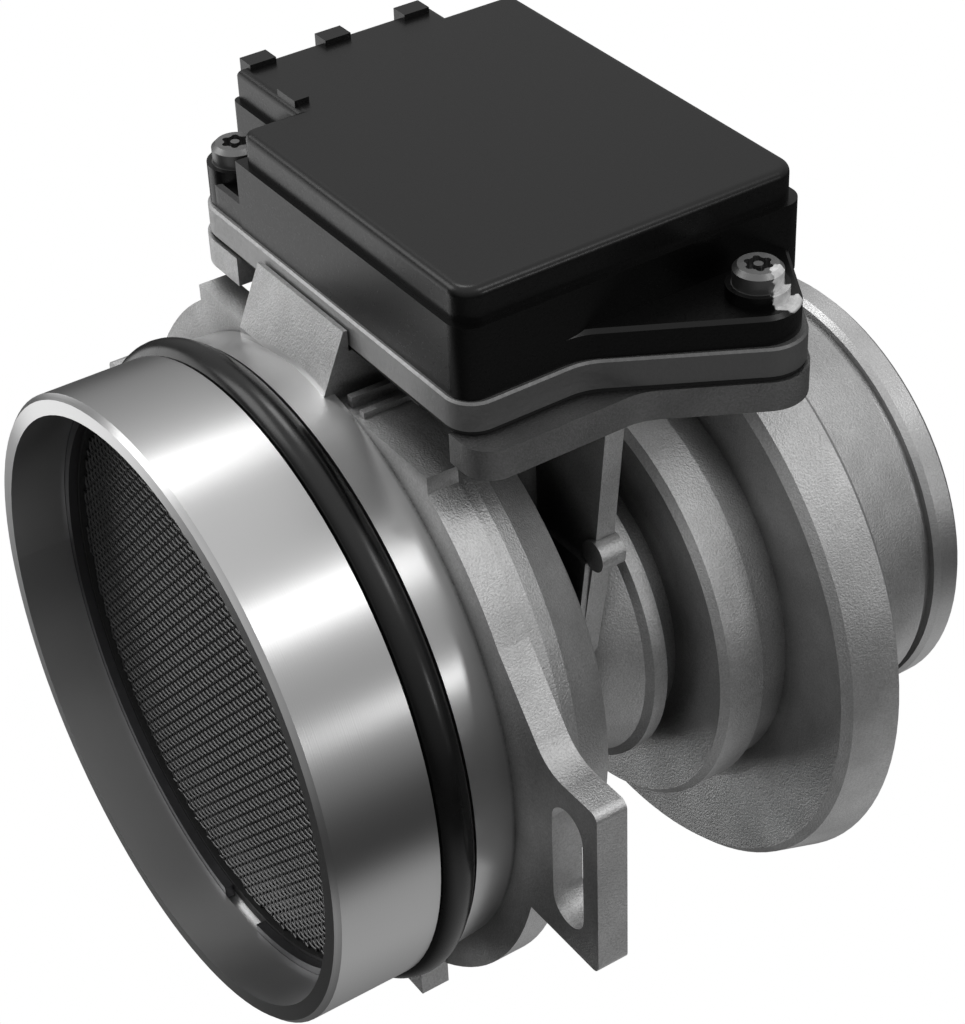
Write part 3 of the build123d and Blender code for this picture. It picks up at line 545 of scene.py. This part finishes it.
# %% Plastics
def moulded_plastic(name, hex_code, roughness, pebble_mm, depth_mm, *targets, sheen=0.5):
    """A moulded plastic whose skin has a pebble of the given size and depth."""
    material, tree, shader = new_material(name)
    place = add(tree, "ShaderNodeTexCoord")
    pebble = add(tree, "ShaderNodeTexNoise",
                 {"Vector": place.outputs["Object"], "Scale": MM_PER_METRE / pebble_mm, "Detail": 3.0})
    level = add(tree, "ShaderNodeMapRange",
                {"Value": pebble.outputs["Fac"], "To Min": roughness - 0.08, "To Max": roughness + 0.08})
    bump = add(tree, "ShaderNodeBump",
               {"Height": pebble.outputs["Fac"], "Strength": 0.4, "Distance": depth_mm / MM_PER_METRE})
    tree.links.new(level.outputs[0], shader.inputs["Roughness"])
    tree.links.new(bump.outputs[0], shader.inputs["Normal"])
    shader.inputs["Base Color"].default_value = colour(hex_code)
    shader.inputs["IOR"].default_value = 1.53
    shader.inputs["Specular IOR Level"].default_value = sheen
    finish_with(material, *targets)
    return material


moulded_plastic("black_nylon_lid", "080808", 0.30, 0.35, 0.02, "module_lid", sheen=0.4)
housing_plastic = moulded_plastic("black_nylon_housing", "040404", 0.30, 0.35, 0.02, "module_housing",
                                  sheen=0.3)
moulded_plastic("black_nylon_frame", "202020", 0.5, 0.5, 0.03, "screen_frame", "probe_holder")
moulded_plastic("solder_mask", "1f4a2c", 0.35, 0.8, 0.01, "circuit_board")
moulded_plastic("chip_epoxy", "222222", 0.55, 0.3, 0.02, "control_chip", "output_chip", "power_transistor")
moulded_plastic("capacitor_ceramic", "b49a72", 0.4, 0.3, 0.01, "chip_capacitors")
bead_glass, tree, shader = new_material("bead_glass")
shader.inputs["Base Color"].default_value = colour("6a4a34")
shader.inputs["Roughness"].default_value = 0.1
shader.inputs["IOR"].default_value = 1.5
finish_with(bead_glass, "air_temperature_bead")

# %% [markdown]
# ## Inspector's paint
# A dab of white paint marks the screw that was tightened and checked. It starts on the screw's head and runs
# down onto the ear. The same round patches, seen from above, are mixed into both materials underneath, so
# the dab carries on from steel to plastic, and noise makes its edge uneven as a brush would. It ends at
# the ear's top edge, so the mask also asks for a height. Each patch itself is an upright column: its third
# half width is far larger than the sensor.

# %% Paint mark
bristles_per_mm = 0.9
raggedness = 0.9
paint_edge = (1.5, 1.4)
ear_top_edge = (0.0574, 0.0577)
any_height = 1000.0
paint_patches = ((0.0708, -0.0420, 0.0024, 0.0015), (0.0701, -0.0409, 0.0012, 0.0016))


def dab_paint(material, patches):
    """Mixes white paint into a material; each patch is x, y and two half widths, in metres."""
    tree = material.node_tree
    shader = next(node for node in tree.nodes if node.type == "BSDF_PRINCIPLED")
    place = add(tree, "ShaderNodeTexCoord")
    uneven = add(tree, "ShaderNodeTexNoise",
                 {"Vector": place.outputs["Object"], "Scale": bristles_per_mm * MM_PER_METRE,
                  "Detail": 3.0})
    total = 0.0
    for x, y, half_x, half_y in patches:
        moved = add(tree, "ShaderNodeVectorMath",
                    {0: place.outputs["Object"], 1: (x, y, 0)}, operation="SUBTRACT")
        scaled = add(tree, "ShaderNodeVectorMath",
                     {0: moved.outputs[0], 1: (half_x, half_y, any_height)}, operation="DIVIDE")
        far = add(tree, "ShaderNodeVectorMath", {0: scaled.outputs[0]}, operation="LENGTH")
        ragged = add(tree, "ShaderNodeMath",
                     {0: uneven.outputs["Fac"], 1: raggedness, 2: far.outputs["Value"]},
                     operation="MULTIPLY_ADD")
        inside = add(tree, "ShaderNodeMapRange",
                     {"Value": ragged.outputs[0], "From Min": paint_edge[0],
                      "From Max": paint_edge[1]})
        larger = add(tree, "ShaderNodeMath", {0: total, 1: inside.outputs[0]}, operation="MAXIMUM")
        total = larger.outputs[0]
    split = add(tree, "ShaderNodeSeparateXYZ", {"Vector": place.outputs["Object"]})
    above = add(tree, "ShaderNodeMapRange",
                {"Value": split.outputs["Z"], "From Min": ear_top_edge[0], "From Max": ear_top_edge[1]})
    covered = add(tree, "ShaderNodeMath", {0: total, 1: above.outputs[0]}, operation="MULTIPLY")
    cloudy = add(tree, "ShaderNodeMapRange",
                 {"Value": uneven.outputs["Fac"], "From Min": 0.3, "From Max": 0.7,
                  "To Min": 0.9, "To Max": 0.6})
    under = tuple(shader.inputs["Base Color"].default_value)
    coated = add(tree, "ShaderNodeMix",
                 {"Factor": covered.outputs[0], MIX_COLOUR_A: under, MIX_COLOUR_B: cloudy.outputs[0]},
                 data_type="RGBA")
    bare = add(tree, "ShaderNodeMath", {0: 1.0, 1: covered.outputs[0]}, operation="SUBTRACT")
    metal = add(tree, "ShaderNodeMath",
                {0: bare.outputs[0], 1: shader.inputs["Metallic"].default_value}, operation="MULTIPLY")
    tree.links.new(coated.outputs[MIX_COLOUR], shader.inputs["Base Color"])
    tree.links.new(metal.outputs[0], shader.inputs["Metallic"])
    print("paint on", material.name)


dab_paint(housing_plastic, paint_patches)
dab_paint(zinc, paint_patches)
